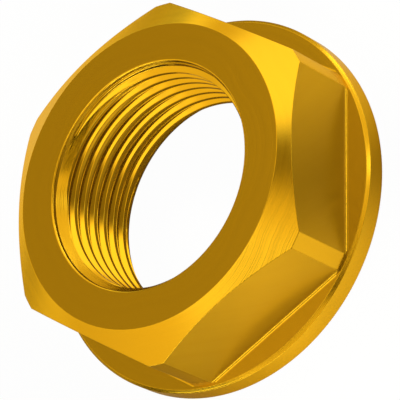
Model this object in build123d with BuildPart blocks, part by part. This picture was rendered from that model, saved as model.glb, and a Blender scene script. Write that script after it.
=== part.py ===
"""Flanged hexagon nut for a wheel axle, one piece of aluminium, turned and milled from bar.

The nut stands on its flange: the bearing face lies on z = 0, and +Z runs up the thread to the nose.
Two corners of the hexagon lie on the X axis. Sizes are in millimetres, angles in degrees.
"""

import os
from math import ceil, cos, radians, tan

from build123d import *

# Hexagon
across_flats = 32.0
total_height = 11.9
corner_relief = 0.475  # what turning takes off each point of the full hexagon

# Turned nose
nose_setback = 1.1  # from the flats in to the edge of the flat ring round the bore
nose_angle = 33.0  # how steeply the cone falls away from that ring

# Flange
flange_overhang = 0.55  # past the turned corners
flange_thickness = 2.4
flange_top_chamfer = 0.3
flange_base_chamfer = 0.2
root_fillet = 0.3  # the milling cutter's corner, between each flat and the flange

# Bore
minor_diameter = 20.9  # over the thread's crests
recess_step = 0.75  # from the thread's crest out to the wall of the plain recess at each end
recess_depth = 0.45
countersink_angle = 90.0  # included, from the recess in to the thread
mouth_chamfer = 0.2

# Thread, M22 x 1.5 and right-hand: one groove that winds up the bore
thread_pitch = 1.5
thread_depth = 0.59
thread_crest = 0.39  # how much of the bore's wall is left between two turns
thread_half_angle = 30.0
thread_start = 0.465  # height of the groove's middle where it first crosses the X axis
cutter_overlap = 0.2  # how far inside the bore the groove's profile begins

# Sizes that follow from them
hexagon_sides = 6
apothem = across_flats / 2
nose_radius = apothem - nose_setback
corner_radius = apothem / cos(radians(180 / hexagon_sides)) - corner_relief
flange_radius = corner_radius + flange_overhang
shoulder_height = total_height - (corner_radius - nose_radius) * tan(radians(nose_angle))
minor_radius = minor_diameter / 2
recess_radius = minor_radius + recess_step
thread_setback = recess_depth + recess_step / tan(radians(countersink_angle / 2))
groove_radius = minor_radius + thread_depth
groove_slope = tan(radians(thread_half_angle))
groove_mouth = (thread_pitch - thread_crest) / 2 + cutter_overlap * groove_slope
groove_root = (thread_pitch - thread_crest) / 2 - thread_depth * groove_slope

# What the milling cutter leaves: a full hexagon on a wide disc, with the cutter's corner between them
with BuildPart() as milled_form:
    with BuildSketch():
        Circle(2 * flange_radius)
    extrude(amount=flange_thickness)
    with BuildSketch(Plane.XY.offset(flange_thickness)):
        RegularPolygon(apothem, hexagon_sides, major_radius=False)
    extrude(amount=total_height - flange_thickness)
    straight_edges = milled_form.edges().filter_by(GeomType.LINE)
    flat_roots = straight_edges.filter_by_position(Axis.Z, flange_thickness, flange_thickness)
    fillet(flat_roots, radius=root_fillet)

# One turn of the thread's groove, as the tap's tooth sweeps it out
with BuildPart() as groove_turn:
    with BuildSketch(Plane.XZ):
        with BuildLine():
            Polyline(
                (minor_radius - cutter_overlap, -groove_mouth),
                (groove_radius, -groove_root),
                (groove_radius, groove_root),
                (minor_radius - cutter_overlap, groove_mouth),
                close=True,
            )
        make_face()
    sweep(path=Helix(thread_pitch, thread_pitch, minor_radius), is_frenet=True)

with BuildPart() as axle_nut:
    # The turned blank: flange, corner cylinder and coned nose in one profile
    with BuildSketch(Plane.XZ):
        with BuildLine():
            Polyline(
                (0, 0),
                (flange_radius - flange_base_chamfer, 0),
                (flange_radius, flange_base_chamfer),
                (flange_radius, flange_thickness - flange_top_chamfer),
                (flange_radius - flange_top_chamfer, flange_thickness),
                (corner_radius, flange_thickness),
                (corner_radius, shoulder_height),
                (nose_radius, total_height),
                (0, total_height),
                close=True,
            )
        make_face()
    revolve(axis=Axis.Z)

    # Milling the blank leaves six flats, with a strip of the turned cylinder at each corner
    add(milled_form.part, mode=Mode.INTERSECT)

    # The bore, with a recess and a countersink at both ends
    with BuildSketch(Plane.XZ):
        with BuildLine():
            Polyline(
                (0, 0),
                (recess_radius + mouth_chamfer, 0),
                (recess_radius, mouth_chamfer),
                (recess_radius, recess_depth),
                (minor_radius, thread_setback),
                (minor_radius, total_height - thread_setback),
                (recess_radius, total_height - recess_depth),
                (recess_radius, total_height - mouth_chamfer),
                (recess_radius + mouth_chamfer, total_height),
                (0, total_height),
                close=True,
            )
        make_face()
    revolve(axis=Axis.Z, mode=Mode.SUBTRACT)

    # The thread, turn by turn, from below the rear countersink to past the front one
    for turn in range(-1, ceil((total_height - thread_start) / thread_pitch)):
        with Locations((0, 0, thread_start + turn * thread_pitch)):
            add(groove_turn.part, mode=Mode.SUBTRACT)

axle_nut.part.label = "axle_nut"

os.makedirs("parts", exist_ok=True)
export_step(axle_nut.part, "parts/axle_nut.step")
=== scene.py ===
"""Axle nut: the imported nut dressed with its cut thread, broken edges and gold anodising, on a pale floor.

The file is laid out as an add-on and is run as a script. Lengths are in metres and angles in radians,
unless the words beside them say otherwise.
"""

from math import acos, atan2, ceil, cos, pi, radians, sin, tan

import bmesh
import bpy
import numpy as np
from mathutils import Matrix, Vector


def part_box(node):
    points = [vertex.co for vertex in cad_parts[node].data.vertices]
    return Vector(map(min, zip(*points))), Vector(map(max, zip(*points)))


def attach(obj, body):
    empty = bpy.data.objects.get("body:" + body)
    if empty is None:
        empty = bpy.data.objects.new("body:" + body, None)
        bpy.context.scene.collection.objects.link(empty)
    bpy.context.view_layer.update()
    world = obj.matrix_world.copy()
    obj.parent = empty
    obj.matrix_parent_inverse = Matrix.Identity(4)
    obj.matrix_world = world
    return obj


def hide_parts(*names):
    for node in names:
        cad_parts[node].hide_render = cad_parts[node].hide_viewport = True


bl_info = {
    "name": "Axle Nut",
    "version": (1, 0, 0),
    "blender": (4, 5, 0),
    "location": "3D View > Sidebar > Axle Nut",
    "description": "A gold anodised flange nut with a fine thread, in a plain soft studio",
    "category": "Object",
}

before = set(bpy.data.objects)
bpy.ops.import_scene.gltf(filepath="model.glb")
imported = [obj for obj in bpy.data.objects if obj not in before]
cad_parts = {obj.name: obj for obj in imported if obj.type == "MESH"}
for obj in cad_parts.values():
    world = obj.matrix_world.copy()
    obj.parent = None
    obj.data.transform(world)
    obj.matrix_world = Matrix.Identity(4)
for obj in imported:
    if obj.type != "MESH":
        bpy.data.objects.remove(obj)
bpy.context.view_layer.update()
nut_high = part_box("axle_nut")[1]

MM = 0.001
HEXAGON_SIDES = 6

# Mesh: how its rows and columns are spaced
EDGE_CROWD = 1.8  # power by which the columns crowd towards the edges of the flats
HOLD = 0.03 * MM  # how far off each rounded corner one more row lies, which keeps the run's shading flat
MOST_HOLD = 0.3  # the most of a short run that it takes up
FILLET_ROWS = 7  # between the flange and the flat
COVER_SHARE = 0.2  # where the threaded wall starts, as a share of the way from its root to the recess

# Mesh: how wide the switch from one surface to the next is spread
CORNER_BLEND = 0.015 * MM  # flat to turned corner
ROOT_BLEND = 0.08 * MM  # the thread's flanks to its root
CREST_BLEND = 0.04 * MM  # its flanks to its crest
SINK_BLEND = 0.02 * MM  # the thread to the countersinks

# Mesh: how its vertices, edges and faces are told apart
MERGE_DISTANCE = 0.0005 * MM
LEAST_EDGE = 0.0001 * MM
SHARP_ANGLE = radians(38)
MOST_OFF_FLAT = 0.02 * MM  # from a flat's plane to the middle of a face that is still the flat's
MOST_UPWARD = 0.5  # how far up or down the normal of a flat's face points at most
LEAST_CLIMB = 0.001  # share of the fillet's height below which a face is the flange's

# Light
LEAST_FACING = 0.05  # keeps a soft box off the half of the sky that faces away from its middle
LEAST_GLOW = 0.02  # how dark the sky gets at most


# Sizes, finish and studio


class AxleNutSizes(bpy.types.PropertyGroup):
    """The nut's own form. The height and the flange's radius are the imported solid's."""

    height: bpy.props.FloatProperty(
        name="Height", description="From the bearing face to the flat ring round the bore",
        default=nut_high.z, unit="LENGTH", precision=5)
    flange_radius: bpy.props.FloatProperty(
        name="Flange radius", description="From the axis to the flange's rim",
        default=nut_high.x, unit="LENGTH", precision=5)
    across_flats: bpy.props.FloatProperty(
        name="Across flats", description="Between two opposite flats of the hexagon",
        default=0.0320, unit="LENGTH", precision=5)
    flange_overhang: bpy.props.FloatProperty(
        name="Flange overhang", description="How far the rim stands out past the turned corners",
        default=0.00055, unit="LENGTH", precision=5)
    flange_thickness: bpy.props.FloatProperty(
        name="Flange thickness", description="From the bearing face to the flange's upper face",
        default=0.0024, unit="LENGTH", precision=5)
    flange_top_chamfer: bpy.props.FloatProperty(
        name="Flange top chamfer", description="Chamfer between the flange's upper face and its rim",
        default=0.0003, unit="LENGTH", precision=5)
    flange_base_chamfer: bpy.props.FloatProperty(
        name="Flange base chamfer", description="Chamfer between the rim and the bearing face",
        default=0.0002, unit="LENGTH", precision=5)
    root_fillet: bpy.props.FloatProperty(
        name="Root fillet", description="What the milling cutter's corner leaves between flat and flange",
        default=0.0003, unit="LENGTH", precision=5)
    nose_setback: bpy.props.FloatProperty(
        name="Nose setback", description="From the flats in to the edge of the flat ring",
        default=0.0011, unit="LENGTH", precision=5)
    nose_angle: bpy.props.FloatProperty(
        name="Nose angle", description="How steeply the turned cone falls away from the flat ring",
        default=radians(33), subtype="ANGLE")
    edge_round: bpy.props.FloatProperty(
        name="Edge round", description="Radius on the chamfers' edges, as brushing leaves them",
        default=0.00005, unit="LENGTH", precision=6)
    crest_round: bpy.props.FloatProperty(
        name="Crest round", description="Radius on the curved edges where the cone meets the flats",
        default=0.00007, unit="LENGTH", precision=6)
    nose_round: bpy.props.FloatProperty(
        name="Nose round", description="Radius between the cone and the flat ring",
        default=0.00012, unit="LENGTH", precision=6)

    @property
    def apothem(self):
        """From the axis to a flat."""
        return self.across_flats / 2

    @property
    def corner_radius(self):
        """From the axis to the turned corners."""
        return self.flange_radius - self.flange_overhang


class AxleNutThread(bpy.types.PropertyGroup):
    """The bore: a right-hand M22 x 1.5 thread, countersunk at both ends."""

    pitch: bpy.props.FloatProperty(
        name="Pitch", description="How far one turn of the thread climbs",
        default=0.0015, unit="LENGTH", precision=5)
    crest_radius: bpy.props.FloatProperty(
        name="Crest radius", description="From the axis to the thread's crest, as in the thread mount",
        default=0.01045, unit="LENGTH", precision=5)
    root_radius: bpy.props.FloatProperty(
        name="Root radius", description="From the axis to the bottom of the thread's groove",
        default=0.01104, unit="LENGTH", precision=5)
    crest_flat: bpy.props.FloatProperty(
        name="Crest flat", description="Width of the strip of drilled wall left between two grooves",
        default=0.00039, unit="LENGTH", precision=5)
    flank_angle: bpy.props.FloatProperty(
        name="Flank angle", description="Between a flank and a plane square to the axis",
        default=radians(30), subtype="ANGLE")
    start_height: bpy.props.FloatProperty(
        name="Start height", description="Height of one crest's middle over the first corner",
        default=0.008715, unit="LENGTH", precision=5)
    recess_step: bpy.props.FloatProperty(
        name="Recess step", description="From the thread's crest out to the wall of the recess at each end",
        default=0.00075, unit="LENGTH", precision=5)
    recess_depth: bpy.props.FloatProperty(
        name="Recess depth", description="Height of the recess's wall, before the countersink starts",
        default=0.00045, unit="LENGTH", precision=5)
    countersink_angle: bpy.props.FloatProperty(
        name="Countersink angle", description="Included angle of the cone from the recess in to the thread",
        default=radians(90), subtype="ANGLE")
    mouth_round: bpy.props.FloatProperty(
        name="Mouth round", description="Radius that rolls each recess over into the face",
        default=0.0002, unit="LENGTH", precision=5)

    @property
    def recess_radius(self):
        """From the axis to the wall of the recess."""
        return self.crest_radius + self.recess_step

    @property
    def countersink_slope(self):
        """How much the countersink's radius grows for each step along the axis."""
        return tan(self.countersink_angle / 2)


class AxleNutFinish(bpy.types.PropertyGroup):
    """Gold anodising over turned and milled aluminium."""

    gold: bpy.props.FloatVectorProperty(
        name="Gold", description="Colour of the anodised metal",
        default=(0.82, 0.437, 0.013), subtype="COLOR", min=0, max=1)
    # Painted shade: the milled flats keep less of the gold, partly for a milled finish a shade duller than
    # the turned one, partly to stand in for the shadowed floor that the flats mirror
    milled_painted_shade: bpy.props.FloatProperty(
        name="Milled shade", description="Share of the gold that the milled flats keep",
        default=0.74, subtype="FACTOR", min=0, max=1)
    coat: bpy.props.FloatProperty(
        name="Coat", description="Weight of the clear anodic layer over the gold",
        default=0.12, subtype="FACTOR", min=0, max=1)
    coat_roughness: bpy.props.FloatProperty(
        name="Coat roughness", description="How far the clear layer spreads a reflection",
        default=0.2, subtype="FACTOR", min=0, max=1)
    gold_in_gold: bpy.props.FloatVectorProperty(
        name="Gold in gold", description="Colour that the metal gives to what it reflects into itself",
        default=(0.66, 0.58, 0.43), subtype="COLOR", min=0, max=1)
    glancing_tint: bpy.props.FloatVectorProperty(
        name="Glancing tint", description="Colour of a reflection that only glances off the metal",
        default=(1.0, 0.8, 0.4), subtype="COLOR", min=0, max=1)
    turned_roughness: bpy.props.FloatProperty(
        name="Turned roughness", description="How far a turned face spreads a reflection",
        default=0.2, subtype="FACTOR", min=0, max=1)
    milled_roughness: bpy.props.FloatProperty(
        name="Milled roughness", description="How far a milled flat spreads a reflection",
        default=0.38, subtype="FACTOR", min=0, max=1)
    thread_roughness: bpy.props.FloatProperty(
        name="Thread roughness", description="How far the thread's flanks spread a reflection",
        default=0.09, subtype="FACTOR", min=0, max=1)
    fillet_roughness: bpy.props.FloatProperty(
        name="Fillet roughness", description="How far the root fillets spread a reflection",
        default=0.2, subtype="FACTOR", min=0, max=1)
    mark_depth: bpy.props.FloatProperty(
        name="Mark depth", description="Height of the rings and streaks that the tools leave",
        default=0.0000045, unit="LENGTH", precision=7)
    ring_width: bpy.props.FloatProperty(
        name="Ring width", description="Width of the finest rings on the turned faces",
        default=0.00011, unit="LENGTH", precision=6)
    ring_band_width: bpy.props.FloatProperty(
        name="Ring band width", description="Width of the broader bands among those rings",
        default=0.0007, unit="LENGTH", precision=5)
    ring_roughness: bpy.props.FloatProperty(
        name="Ring roughness", description="How far those bands differ in roughness",
        default=0.08, subtype="FACTOR", min=0, max=1)
    cut_width: bpy.props.FloatProperty(
        name="Cut width", description="Width of the finest streaks on the milled flats",
        default=0.00016, unit="LENGTH", precision=6)
    cut_band_width: bpy.props.FloatProperty(
        name="Cut band width", description="Width of the broader bands among those streaks",
        default=0.0011, unit="LENGTH", precision=5)
    cut_roughness: bpy.props.FloatProperty(
        name="Cut roughness", description="How far those bands differ in roughness",
        default=0.14, subtype="FACTOR", min=0, max=1)


class AxleNutStudio(bpy.types.PropertyGroup):
    """The floor, the camera and the level of the soft light."""

    floor_size: bpy.props.FloatProperty(
        name="Floor size", description="Side of the square floor", default=6.0, unit="LENGTH")
    floor_colour: bpy.props.FloatVectorProperty(
        name="Floor colour", description="Colour of the pale floor",
        default=(0.44, 0.44, 0.44), subtype="COLOR", min=0, max=1)
    floor_white: bpy.props.FloatProperty(
        name="Floor white", description="Share of plain white in the floor as it is seen",
        default=0.98, subtype="FACTOR", min=0, max=1)
    floor_in_metal: bpy.props.FloatProperty(
        name="Floor in metal", description="Share of plain white in the floor as metal and glass show it",
        default=0.05, subtype="FACTOR", min=0, max=1)
    spot_height: bpy.props.FloatProperty(
        name="Spot height", description="From the floor up to the spots that light it",
        default=0.4, unit="LENGTH")
    spot_tint: bpy.props.FloatVectorProperty(
        name="Spot tint", description="Colour of the spots that light the floor",
        default=(1.0, 0.97, 0.65), subtype="COLOR", min=0, max=1)
    level_low: bpy.props.FloatProperty(
        name="Level low", description="Strength of the surrounding light at the horizon",
        default=0.72, min=0)
    level_high: bpy.props.FloatProperty(
        name="Level high", description="Strength of the surrounding light straight above",
        default=1.2, min=0)
    level_tint: bpy.props.FloatVectorProperty(
        name="Level tint", description="Colour of the surrounding light",
        default=(1.0, 0.885, 0.39), subtype="COLOR", min=0, max=1)
    lamp_tint: bpy.props.FloatVectorProperty(
        name="Lamp tint", description="Colour of the soft boxes",
        default=(0.82, 0.98, 1.0), subtype="COLOR", min=0, max=1)
    camera_azimuth: bpy.props.FloatProperty(
        name="Camera azimuth", description="Round from +X to the camera",
        default=radians(-61.473), subtype="ANGLE")
    camera_elevation: bpy.props.FloatProperty(
        name="Camera elevation", description="Up from the floor to the camera",
        default=radians(48.553), subtype="ANGLE")
    camera_roll: bpy.props.FloatProperty(
        name="Camera roll", description="How far the camera's top leans to its right",
        default=radians(64.545), subtype="ANGLE")
    camera_distance: bpy.props.FloatProperty(
        name="Camera distance", description="From the camera to the point it looks at",
        default=0.29808, unit="LENGTH", precision=5)
    camera_aim: bpy.props.FloatVectorProperty(
        name="Camera aim", description="The point that the camera looks at",
        default=(0.001037, -0.001851, 0.00595), subtype="TRANSLATION", precision=6)
    lens: bpy.props.FloatProperty(
        name="Lens", description="Focal length in millimetres on a 36 mm sensor", default=285.44)


def direction_at(azimuth, elevation):
    """The direction round from +X by azimuth and up from the floor by elevation."""
    return Vector((cos(elevation) * cos(azimuth), cos(elevation) * sin(azimuth), sin(elevation)))


class SoftBox:
    """A soft oval of light on the sky around the nut, or a dark card where its strength is negative.

    Angles are in degrees: where its middle stands, half its width and height, and how far it is turned.
    Softness is how far its edge fades to either side, as a share of its half width, and strength is what
    it adds to the sky.
    """

    def __init__(self, azimuth, elevation, half_width, half_height, turn, softness, strength):
        self.softness = softness
        self.strength = strength
        azimuth, elevation, turn = radians(azimuth), radians(elevation), radians(turn)
        self.middle = direction_at(azimuth, elevation)
        east = Vector((-sin(azimuth), cos(azimuth), 0))
        north = self.middle.cross(east)
        self.across = (cos(turn) * east + sin(turn) * north) / tan(radians(half_width))
        self.along = (cos(turn) * north - sin(turn) * east) / tan(radians(half_height))

    def glow(self, nodes, direction):
        """The box's light in a direction: even inside, nothing outside, with a smooth step between.

        The box is an ellipse on the plane that touches the sky at its middle. The step runs over the
        distance from the middle, measured in half widths across and half heights along.
        """
        facing = nodes.dot(direction, self.middle).greater(LEAST_FACING)
        across = nodes.dot(direction, self.across)
        along = nodes.dot(direction, self.along)
        distance = (across * across + along * along) ** 0.5 / facing
        return nodes.step(distance, 1 + self.softness, 1 - self.softness) * self.strength


# Each with its azimuth, elevation, half width, half height, turn, softness and strength
SOFT_BOXES = {
    "key": SoftBox(41, 38, 14, 26, 51, 0.2, 0.66),
    "back": SoftBox(235, 69, 26, 20, 10, 0.25, 0.51),
    "back low": SoftBox(218, 1, 34, 15, 9, 0.15, 3.5),
    "right low": SoftBox(31, 3, 23, 10, -2, 0.15, 3.1),
    "far low": SoftBox(87, 21, 7, 16, -28, 0.45, 0.7),
    "far edge": SoftBox(93, 0, 13, 14, 0, 0.5, 0.6),
    "left edge": SoftBox(149, 2, 14, 14, 0, 0.6, 0.24),
    "right spot": SoftBox(-6, 26, 6, 9, -4, 0.4, 1.6),
    "top card": SoftBox(1, 68, 13, 31, -4, 0.35, -0.88),
    "camera card": SoftBox(277, 51, 37, 8.5, 7, 0.2, -1.6),
    "right card": SoftBox(316, 18, 39, 8, -42, 0.15, -1.02),
    "right low card": SoftBox(336, 12, 15, 15, -8, 0.2, -0.9),
    "far card": SoftBox(120, 44, 54, 13, 45, 0.15, -0.67),
    "left low card": SoftBox(186, 7, 36, 5, 32, 0.15, -1.5),
}

# Spots straight above the floor, each with its place in x and y and its pool's radius, in mm, and its watts
FLOOR_SPOTS = {
    "front_right_spot": (10.5, -26.5, 18.5, 9.0),
    "front_left_spot": (-6, -29, 16, 8.0),
    "right_spot": (29, 5, 18, 9.0),
    "back_spot": (-36, 62, 62, 8.5),
    "bore_spot": (-3, -0.5, 5.3, 8.5),
}


# The nut's surface


def smooth_least(a, b, width):
    """The lesser of two arrays, with the switch from one to the other spread over about width."""
    spare = np.maximum(width - np.abs(a - b), 0) / width
    return np.minimum(a, b) - spare ** 2 * width / 4


def smooth_greatest(a, b, width):
    """The greater of two arrays, with the switch from one to the other spread over about width."""
    return -smooth_least(-a, -b, width)


def hexagon_azimuths(apothem, corner_radius, flat_steps=40, corner_steps=5):
    """Azimuths of the mesh's columns, once round and closed, from the middle of the first corner.

    Each side runs from one corner's middle to the next. A turned strip of half a corner comes first, then
    the flat, then half the next corner. The columns crowd towards the flat's two edges by a power of the
    distance from them, so that the edges stay crisp.
    """
    half_side = pi / HEXAGON_SIDES
    half_flat = acos(apothem / corner_radius)
    from_edge = np.linspace(1, 0, corner_steps + 1)[:-1] ** EDGE_CROWD
    corner = half_flat + (half_side - half_flat) * from_edge
    flat = half_flat * (1 - np.linspace(0, 1, flat_steps // 2 + 1) ** EDGE_CROWD)
    falling = np.concatenate([corner, flat])
    side = np.concatenate([-falling, falling[-2:0:-1]])
    sides = [side + half_side * (2 * n + 1) for n in range(HEXAGON_SIDES)]
    return np.append(np.concatenate(sides), 2 * pi)


def off_middle(azimuth):
    """Angle from the middle of the flat that an azimuth falls on."""
    side = 2 * pi / HEXAGON_SIDES
    return np.mod(azimuth, side) - side / 2


def hexagon_radius(azimuth, apothem, corner_radius):
    """Radius of the milled hexagon at an azimuth.

    It is the apothem over the cosine of the angle from the flat's middle. Where that passes the turned
    corner's radius, the corner's radius takes over.
    """
    flats = apothem / np.cos(off_middle(azimuth))
    return smooth_least(flats, np.full_like(azimuth, corner_radius), CORNER_BLEND)


def row(azimuth, radius, height):
    """A row of the surface, or a block of rows, as azimuth, radius and height for each column."""
    return np.stack(np.broadcast_arrays(azimuth, radius, height), axis=-1).astype(float)


def run(start, end, count):
    """Rows from start up to, but not including, end, evenly spaced."""
    share = np.linspace(0, 1, count, endpoint=False)[:, None, None]
    return start + (end - start) * share


def rounded(before, corner, after, radius, count):
    """Rows round a corner of the profile, on an arc that touches the two straight runs beside it.

    In each column the arc is a rational quadratic. Its middle control point is the corner and its middle
    weight is the cosine of half the turn, which makes it a true circle. Its two ends lie along the runs
    from the corner, by the radius times the tangent of half the turn.
    """
    incoming = corner[:, 1:] - before[:, 1:]
    outgoing = after[:, 1:] - corner[:, 1:]
    incoming /= np.linalg.norm(incoming, axis=1)[:, None]
    outgoing /= np.linalg.norm(outgoing, axis=1)[:, None]
    turn = np.arccos(np.clip((incoming * outgoing).sum(axis=1), -1, 1))
    reach = radius * np.tan(turn / 2)
    weight = np.cos(turn / 2)[None, :, None]
    first, last = corner.copy(), corner.copy()
    first[:, 1:] -= incoming * reach[:, None]
    last[:, 1:] += outgoing * reach[:, None]
    t = np.linspace(0, 1, count + 1)[:, None, None]
    parts = (1 - t) ** 2, 2 * t * (1 - t) * weight, t ** 2
    return (parts[0] * first + parts[1] * corner + parts[2] * last) / sum(parts)


def profile_rows(corners, radii, arc_counts, run_counts):
    """Rows along a profile of straight runs with rounded corners, for every column at once.

    corners holds the profile's corner rows. Each run is cut into its count of steps, with one more row a
    little way off each arc, which keeps the shading of the run flat.
    """
    blocks = []
    last = corners[0]
    for n in range(1, len(corners)):
        if n < len(corners) - 1 and radii[n]:
            arc = rounded(corners[n - 1], corners[n], corners[n + 1], radii[n], arc_counts[n])
        else:
            arc = corners[n][None]
        start, end = last, arc[0]
        length = np.linalg.norm((end - start)[:, 1:], axis=1)[:, None]
        inset = np.minimum(HOLD / np.maximum(length, 1e-9), MOST_HOLD)
        near_start, near_end = start + (end - start) * inset, end - (end - start) * inset
        blocks += [start[None], run(near_start, near_end, run_counts[n]), near_end[None]]
        blocks.append(arc[:-1])
        last = arc[-1]
    blocks.append(last[None])
    return np.concatenate(blocks)


def thread_cover(thread):
    """Depth and radius on the countersink where it is already wider than the thread's groove."""
    radius = thread.root_radius + COVER_SHARE * (thread.recess_radius - thread.root_radius)
    return thread.recess_depth + (thread.recess_radius - radius) / thread.countersink_slope, radius


def fillet_rows(nut):
    """The cutter's corner: a quarter circle that stands off the flat less and less as it climbs.

    At an angle up the quarter, the standoff is the fillet's radius times one less the sine, and the height
    over the flange is the radius times one less the cosine.
    """
    rows = []
    for angle in np.linspace(0, pi / 2, FILLET_ROWS + 2)[1:-1]:
        apothem = nut.apothem + nut.root_fillet * (1 - sin(angle))
        height = nut.flange_thickness + nut.root_fillet * (1 - cos(angle))
        azimuth = hexagon_azimuths(apothem, nut.corner_radius)
        rows.append(row(azimuth, hexagon_radius(azimuth, apothem, nut.corner_radius), height))
    return np.stack(rows)


def outside_rows(nut, thread):
    """The nut's outside: from the rear countersink, under the flange, up, and in to the front one."""
    nose_radius = nut.apothem - nut.nose_setback
    recess_radius = thread.recess_radius
    cover_depth, cover_radius = thread_cover(thread)
    body = hexagon_azimuths(nut.apothem, nut.corner_radius)
    foot_apothem = nut.apothem + nut.root_fillet
    foot = hexagon_azimuths(foot_apothem, nut.corner_radius)
    flange_top = nut.flange_thickness
    rim = nut.flange_radius
    edge = nut.edge_round

    # Under and round the flange, to the foot of the fillet
    flange = [
        row(body, cover_radius, cover_depth),
        row(body, recess_radius, thread.recess_depth),
        row(body, recess_radius, 0),
        row(foot, rim - nut.flange_base_chamfer, 0),
        row(foot, rim, nut.flange_base_chamfer),
        row(foot, rim, flange_top - nut.flange_top_chamfer),
        row(foot, rim - nut.flange_top_chamfer, flange_top),
        row(foot, hexagon_radius(foot, foot_apothem, nut.corner_radius), flange_top),
    ]
    lower = profile_rows(
        flange,
        radii=[0, edge, thread.mouth_round, edge, edge, edge, edge, 0],
        arc_counts=[0, 3, 6, 3, 3, 3, 3, 0],
        run_counts=[0, 1, 1, 8, 2, 4, 2, 3])

    # The flats, the cone, the flat ring and the front recess
    section = hexagon_radius(body, nut.apothem, nut.corner_radius)
    crest_height = nut.height - (section - nose_radius) * tan(nut.nose_angle)
    nose = [
        row(body, section, flange_top + nut.root_fillet),
        row(body, section, crest_height),
        row(body, nose_radius, nut.height),
        row(body, recess_radius, nut.height),
        row(body, recess_radius, nut.height - thread.recess_depth),
        row(body, cover_radius, nut.height - cover_depth),
    ]
    upper = profile_rows(
        nose,
        radii=[0, nut.crest_round, nut.nose_round, thread.mouth_round, edge, 0],
        arc_counts=[0, 4, 3, 6, 3, 0],
        run_counts=[0, 6, 6, 6, 1, 1])
    return np.concatenate([lower, fillet_rows(nut), upper])


def thread_radius(height, azimuth, thread):
    """Radius of the threaded wall: the crest, with a groove cut into it along a helix.

    The distance from the nearest crest's middle, less half the crest's flat, over the tangent of the flank
    angle, is the groove's depth, held between nothing and the root's depth.
    """
    climb = thread.start_height + thread.pitch * azimuth / (2 * pi)
    off_crest = np.abs(np.mod(height - climb + thread.pitch / 2, thread.pitch) - thread.pitch / 2)
    depth = (off_crest - thread.crest_flat / 2) / tan(thread.flank_angle)
    deepest = thread.root_radius - thread.crest_radius
    depth = smooth_least(depth, np.full_like(depth, deepest), ROOT_BLEND)
    return thread.crest_radius + smooth_greatest(depth, np.zeros_like(depth), CREST_BLEND)


def bore_rows(nut, thread, azimuth):
    """The threaded wall, from the front countersink to the rear one, in rows that climb with the thread.

    A row is a helix of the thread's pitch, held where the countersinks are wide enough to cover the groove.
    Its radius is the greater of the thread's and the nearer countersink's. With the rows comes, for each
    point, whether it is the thread's.
    """
    cover_depth, cover_radius = thread_cover(thread)
    top, bottom = nut.height - cover_depth, cover_depth
    # Off a crest's middle: over the crest, round its edge, down the flank, and round to the root's middle
    one_side = np.array([0, 0.05, 0.1, 0.15, 0.18, 0.21, 0.25, 0.33, 0.41, 0.47, 0.51, 0.56, 0.62]) * MM
    stations = np.concatenate([one_side, -one_side[1:], [thread.pitch / 2]])
    reach = ceil(nut.height / thread.pitch) + 1
    turns = np.arange(-reach, reach)[:, None] * thread.pitch
    # Heights at which the rows start, over the first corner, from the top down
    start = (thread.start_height + turns + stations).ravel()
    start = np.sort(start[(start < top) & (start > bottom - thread.pitch)])[::-1]
    start = np.concatenate([[top], start, [bottom - thread.pitch]])
    height = np.clip(start[:, None] + thread.pitch * azimuth / (2 * pi), bottom, top)
    wall = thread_radius(height, azimuth[None, :], thread)
    depth = np.minimum(height, nut.height - height)
    cone = cover_radius - (depth - cover_depth) * thread.countersink_slope
    return row(azimuth[None, :], smooth_greatest(wall, cone, SINK_BLEND), height), wall > cone


def nut_surface(nut, thread):
    """Vertices and faces of the whole nut: one closed sheet, round the axis and round the wall's section.

    With them come three attributes for each vertex: how far it is along the profile, how far it is along
    its flat from the flat's middle, and whether it is on the thread.
    """
    outside = outside_rows(nut, thread)
    azimuth = hexagon_azimuths(nut.apothem, nut.corner_radius)
    bore, on_thread = bore_rows(nut, thread, azimuth)
    rows = np.concatenate([outside, bore[1:]])
    around, radius, height = rows[..., 0], rows[..., 1], rows[..., 2]
    vertices = np.stack([radius * np.cos(around), radius * np.sin(around), height], axis=-1)
    row_count, column_count = around.shape
    index = np.arange(row_count * column_count).reshape(row_count, column_count)
    following = np.roll(index, -1, axis=0)
    faces = np.stack([index[:, :-1], index[:, 1:], following[:, 1:], following[:, :-1]], axis=-1)

    steps = np.hypot(np.diff(radius, axis=0), np.diff(height, axis=0))
    profile = np.concatenate([np.zeros((1, column_count)), np.cumsum(steps, axis=0)])
    threaded = np.concatenate([np.zeros(outside.shape[:2]), on_thread[1:]])
    return vertices.reshape(-1, 3), faces.reshape(-1, 4), {
        "profile": profile.ravel(),
        "along_flat": (radius * np.sin(off_middle(around))).ravel(),
        "threaded": threaded.ravel(),
    }


def milled_faces(vertices, faces, nut):
    """Two attributes for each face: whether it is a milled flat's, and whether it is a root fillet's.

    A flat's faces stand upright, and their middle is as far from the axis, square to the flat, as the flat.
    A fillet's faces stand out further than that and lie between the flange and the fillet's height over it.
    """
    corners = vertices[faces]
    normal = np.cross(corners[:, 2] - corners[:, 0], corners[:, 3] - corners[:, 1])
    normal /= np.maximum(np.linalg.norm(normal, axis=1), 1e-12)[:, None]
    middle = corners.mean(axis=1)
    azimuth = np.arctan2(middle[:, 1], middle[:, 0])
    reach = np.hypot(middle[:, 0], middle[:, 1]) * np.cos(off_middle(azimuth))
    off_flat = reach - nut.apothem
    climb = (middle[:, 2] - nut.flange_thickness) / nut.root_fillet
    return {
        "milled": (np.abs(normal[:, 2]) < MOST_UPWARD) & (np.abs(off_flat) < MOST_OFF_FLAT),
        "fillet": (off_flat > MOST_OFF_FLAT) & (climb > LEAST_CLIMB) & (climb < 1),
    }


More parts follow.
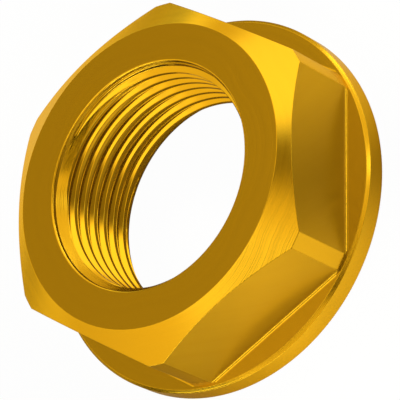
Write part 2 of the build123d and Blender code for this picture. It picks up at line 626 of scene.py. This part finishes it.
def make_mesh(name, vertices, faces, attributes):
    """A closed mesh from arrays, with its doubles merged, shaded smooth but for its sharp edges."""
    mesh = bpy.data.meshes.new(name)
    mesh.from_pydata(vertices, [], faces)
    for label, values in attributes.items():
        domain = "POINT" if len(values) == len(vertices) else "FACE"
        mesh.attributes.new(label, "FLOAT", domain).data.foreach_set("value", values.astype(np.float32))
    working = bmesh.new()
    working.from_mesh(mesh)
    bmesh.ops.remove_doubles(working, verts=working.verts, dist=MERGE_DISTANCE)
    bmesh.ops.dissolve_degenerate(working, edges=working.edges, dist=LEAST_EDGE)
    if working.calc_volume(signed=True) < 0:
        bmesh.ops.reverse_faces(working, faces=working.faces)
    open_edges = sum(1 for edge in working.edges if not edge.is_manifold)
    working.to_mesh(mesh)
    working.free()
    if open_edges:
        raise RuntimeError(f"{name} has {open_edges} open edges")
    mesh.shade_smooth()
    mesh.set_sharp_from_angle(angle=SHARP_ANGLE)
    mesh.update()
    return mesh


# Materials


class Signal:
    """A node's output socket, on which arithmetic adds Math nodes."""

    def __init__(self, nodes, socket):
        self.nodes = nodes
        self.socket = socket

    def math(self, operation, *others, **settings):
        sockets = [self.socket, *(getattr(other, "socket", other) for other in others)]
        return self.nodes.add(
            "ShaderNodeMath", {"operation": operation, **settings}, dict(enumerate(sockets)))

    def __add__(self, other):
        return self.math("ADD", other)

    def __mul__(self, other):
        return self.math("MULTIPLY", other)

    def __sub__(self, other):
        return self.math("SUBTRACT", other)

    def __truediv__(self, other):
        return self.math("DIVIDE", other)

    def __pow__(self, other):
        return self.math("POWER", other)

    def __rsub__(self, other):
        return self.nodes.add("ShaderNodeMath", {"operation": "SUBTRACT"}, {0: other, 1: self.socket})

    __radd__ = __add__
    __rmul__ = __mul__

    def greater(self, other):
        return self.math("MAXIMUM", other)

    def clamped(self):
        return self.math("ADD", 0, use_clamp=True)


class NodeTree:
    """A node tree that is emptied and filled by add()."""

    def __init__(self, tree):
        self.tree = tree
        tree.nodes.clear()

    def add(self, kind, settings=None, inputs=None, output=0):
        """One node: its type, its settings, its sockets' values or links, and which output it gives."""
        node = self.tree.nodes.new(kind)
        for name, value in (settings or {}).items():
            setattr(node, name, value)
        for name, value in (inputs or {}).items():
            value = getattr(value, "socket", value)
            if isinstance(value, bpy.types.NodeSocket):
                self.tree.links.new(value, node.inputs[name])
            else:
                node.inputs[name].default_value = value
        return Signal(self, node.outputs[output]) if node.outputs else node

    def dot(self, vector, other):
        return self.add(
            "ShaderNodeVectorMath", {"operation": "DOT_PRODUCT"}, {0: vector, 1: other}, "Value")

    def step(self, value, start, end):
        """A smooth step, from nothing at start to one at end."""
        return self.add("ShaderNodeMapRange", {"interpolation_type": "SMOOTHSTEP"},
                        {"Value": value, "From Min": start, "From Max": end})

    def mix(self, share, first, second):
        """A colour between two. They go into sockets 6 and 7 of the mix, and the result leaves by 2."""
        return self.add("ShaderNodeMix", {"data_type": "RGBA"}, {0: share, 6: first, 7: second}, 2)

    def attribute(self, name):
        return self.add("ShaderNodeAttribute", {"attribute_name": name}, output="Fac")

    def streaks(self, place, width):
        """Noise along one coordinate, as much below 0 as above, whose streaks are about one width wide."""
        noise = self.add("ShaderNodeTexNoise", {"noise_dimensions": "1D"},
                         {"W": place * (1 / width), "Scale": 1.0, "Detail": 2})
        return noise - 0.5


def gold_material(finish):
    """Satin gold anodising over turned and milled aluminium.

    Turned faces carry rings, as noise along the profile. The flats carry the cutter's slanting streaks, as
    noise along a slanting line in the flat. Both roughen the metal and raise it a little.
    """
    material = bpy.data.materials.new("gold_anodised")
    material.use_nodes = True
    nodes = NodeTree(material.node_tree)
    profile, along_flat = nodes.attribute("profile"), nodes.attribute("along_flat")
    milled, threaded = nodes.attribute("milled"), nodes.attribute("threaded")

    # The slant is the distance square to lines that rise by 4 for each 3 that they go back along the flat.
    # The shift takes the broad noise from another stretch than the fine noise.
    slant = along_flat * 0.8 + profile * 0.6
    shift = 10 * MM
    rings = nodes.streaks(profile, finish.ring_width)
    broad_rings = nodes.streaks(profile + shift, finish.ring_band_width)
    cuts = nodes.streaks(slant, finish.cut_width)
    broad_cuts = nodes.streaks(slant + shift, finish.cut_band_width)

    turned = (1 - milled) * (1 - threaded)
    roughness = (
        finish.turned_roughness + (finish.milled_roughness - finish.turned_roughness) * milled
        + (finish.thread_roughness - finish.turned_roughness) * threaded
        + (finish.fillet_roughness - finish.turned_roughness) * nodes.attribute("fillet")
        + broad_rings * turned * finish.ring_roughness + broad_cuts * milled * finish.cut_roughness)
    relief = (rings + broad_rings) * turned + (cuts + broad_cuts) * milled
    bump = nodes.add("ShaderNodeBump", inputs={
        "Strength": 1.0, "Distance": finish.mark_depth, "Height": relief}, output="Normal")

    # Where the metal reflects itself its colour would multiply and turn red, which anodising doesn't show
    in_gold = nodes.add("ShaderNodeLightPath", output="Is Glossy Ray")
    # Painted shade: the flats' gold is darkened, partly for their duller milled finish and partly to stand
    # in for the shadowed floor that they mirror
    milled_gold_with_painted_shade = Vector(finish.gold) * finish.milled_painted_shade
    gold = nodes.mix(milled, (*finish.gold, 1), (*milled_gold_with_painted_shade, 1))
    colour = nodes.mix(in_gold, gold, (*finish.gold_in_gold, 1))
    surface = nodes.add("ShaderNodeBsdfPrincipled", inputs={
        "Base Color": colour, "Metallic": 1.0, "Roughness": roughness, "Normal": bump,
        "Specular Tint": (*finish.glancing_tint, 1), "Coat Weight": finish.coat, "Coat IOR": 1.6,
        "Coat Roughness": finish.coat_roughness})
    nodes.add("ShaderNodeOutputMaterial", inputs={"Surface": surface})
    return material


class AXLENUT_OT_nut(bpy.types.Operator):
    """Make the nut: a hexagon on a flange, coned at the nose, with a threaded bore"""

    bl_idname = "axlenut.nut"
    bl_label = "Nut"

    def execute(self, context):
        scene = context.scene
        nut, thread = scene.axle_nut_sizes, scene.axle_nut_thread
        vertices, faces, attributes = nut_surface(nut, thread)
        attributes.update(milled_faces(vertices, faces, nut))
        mesh = make_mesh("dressed_nut", vertices, faces, attributes)
        mesh.materials.append(gold_material(scene.axle_nut_finish))
        piece = bpy.data.objects.new("dressed_nut", mesh)
        scene.collection.objects.link(piece)
        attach(piece, "root")
        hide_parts("axle_nut")
        return {"FINISHED"}


def floor_material(studio):
    """A pale floor that takes the nut's shadow.

    The camera sees it as nearly white, and metal and glass show it a little whiter than it is lit.
    """
    material = bpy.data.materials.new("floor")
    material.use_nodes = True
    nodes = NodeTree(material.node_tree)
    diffuse = nodes.add("ShaderNodeBsdfDiffuse", inputs={"Color": (*studio.floor_colour, 1)})
    white = nodes.add("ShaderNodeEmission", inputs={"Color": (1, 1, 1, 1), "Strength": 1.0})
    seen = nodes.add("ShaderNodeLightPath", output="Is Camera Ray")
    in_metal = (nodes.add("ShaderNodeLightPath", output="Is Glossy Ray")
                + nodes.add("ShaderNodeLightPath", output="Is Transmission Ray"))
    share = seen * studio.floor_white + in_metal * studio.floor_in_metal
    surface = nodes.add("ShaderNodeMixShader", inputs={0: share, 1: diffuse, 2: white})
    nodes.add("ShaderNodeOutputMaterial", inputs={"Surface": surface})
    return material


def studio_world(studio):
    """The light all round: a level that grows towards the top, with the soft boxes and cards on it.

    Its colour turns from the level's tint to the lamps' with the lamps' share of the whole.
    """
    world = bpy.data.worlds.new("studio")
    world.use_nodes = True
    nodes = NodeTree(world.node_tree)
    direction = nodes.add("ShaderNodeTexCoord", output="Generated")
    level = studio.level_low + nodes.dot(direction, (0, 0, 1)) * (studio.level_high - studio.level_low)
    lamps = 0
    for box in SOFT_BOXES.values():
        if box.strength < 0:
            level = level + box.glow(nodes, direction)
        else:
            lamps = lamps + box.glow(nodes, direction)
    whole = (level + lamps).greater(LEAST_GLOW)
    tint = nodes.mix((lamps / whole).clamped(), (*studio.level_tint, 1), (*studio.lamp_tint, 1))
    glow = nodes.add("ShaderNodeBackground", inputs={"Color": tint, "Strength": whole})
    nodes.add("ShaderNodeOutputWorld", inputs={"Surface": glow})
    return world


def floor_spot(name, studio, x, y, radius, power):
    """A spot over the floor, which brightens what the nut's upright faces mirror and isn't mirrored."""
    light = bpy.data.lights.new(name, "SPOT")
    light.spot_size = 2 * atan2(radius * MM, studio.spot_height)
    light.spot_blend = 1.0
    light.shadow_soft_size = 2 * MM
    light.color = studio.spot_tint
    light.energy = power
    spot = bpy.data.objects.new(name, light)
    spot.location = (x * MM, y * MM, studio.spot_height)
    spot.visible_glossy = False
    return spot


def studio_camera(studio):
    """The camera on its azimuth and elevation, looking at its aim, and rolled about that line."""
    towards = direction_at(studio.camera_azimuth, studio.camera_elevation)
    level = Vector((0, 0, 1)).cross(towards).normalized()
    upright = towards.cross(level)
    top = cos(studio.camera_roll) * upright + sin(studio.camera_roll) * level
    right = top.cross(towards)
    lens = bpy.data.cameras.new("camera")
    lens.sensor_width = 36
    lens.lens = studio.lens
    lens.clip_start = 10 * MM
    camera = bpy.data.objects.new("camera", lens)
    place = Vector(studio.camera_aim) + towards * studio.camera_distance
    camera.matrix_world = Matrix.Translation(place) @ Matrix((right, top, towards)).transposed().to_4x4()
    return camera


class AXLENUT_OT_studio(bpy.types.Operator):
    """Set the plain floor, the soft light and the camera"""

    bl_idname = "axlenut.studio"
    bl_label = "Studio"

    def execute(self, context):
        scene = context.scene
        studio = scene.axle_nut_studio

        half = studio.floor_size / 2
        corners = [(-half, -half, 0), (half, -half, 0), (half, half, 0), (-half, half, 0)]
        mesh = bpy.data.meshes.new("floor")
        mesh.from_pydata(corners, [], [(0, 1, 2, 3)])
        mesh.materials.append(floor_material(studio))
        floor = bpy.data.objects.new("floor", mesh)
        scene.collection.objects.link(floor)

        scene.world = studio_world(studio)
        for name, pool in FLOOR_SPOTS.items():
            scene.collection.objects.link(floor_spot(name, studio, *pool))

        camera = studio_camera(studio)
        scene.collection.objects.link(camera)
        scene.camera = camera
        scene.view_settings.view_transform = "Standard"
        return {"FINISHED"}


class AXLENUT_PT_panel(bpy.types.Panel):
    """The nut's sizes, finish and studio, with a button for each thing that is made"""

    bl_label = "Axle Nut"
    bl_idname = "AXLENUT_PT_panel"
    bl_space_type = "VIEW_3D"
    bl_region_type = "UI"
    bl_category = "Axle Nut"

    def draw(self, context):
        scene = context.scene
        groups = {
            "axlenut.nut": ("axle_nut_sizes", "axle_nut_thread", "axle_nut_finish"),
            "axlenut.studio": ("axle_nut_studio",),
        }
        for operator, names in groups.items():
            box = self.layout.box()
            box.operator(operator)
            for name in names:
                for value in GROUPS[name].__annotations__:
                    box.prop(getattr(scene, name), value)


GROUPS = {
    "axle_nut_sizes": AxleNutSizes,
    "axle_nut_thread": AxleNutThread,
    "axle_nut_finish": AxleNutFinish,
    "axle_nut_studio": AxleNutStudio,
}
CLASSES = (*GROUPS.values(), AXLENUT_OT_nut, AXLENUT_OT_studio, AXLENUT_PT_panel)


def register():
    for cls in CLASSES:
        bpy.utils.register_class(cls)
    for name, group in GROUPS.items():
        setattr(bpy.types.Scene, name, bpy.props.PointerProperty(type=group))


def unregister():
    for name in GROUPS:
        delattr(bpy.types.Scene, name)
    for cls in reversed(CLASSES):
        bpy.utils.unregister_class(cls)


def main():
    register()
    bpy.ops.axlenut.studio()
    bpy.ops.axlenut.nut()


if __name__ == "__main__":
    main()
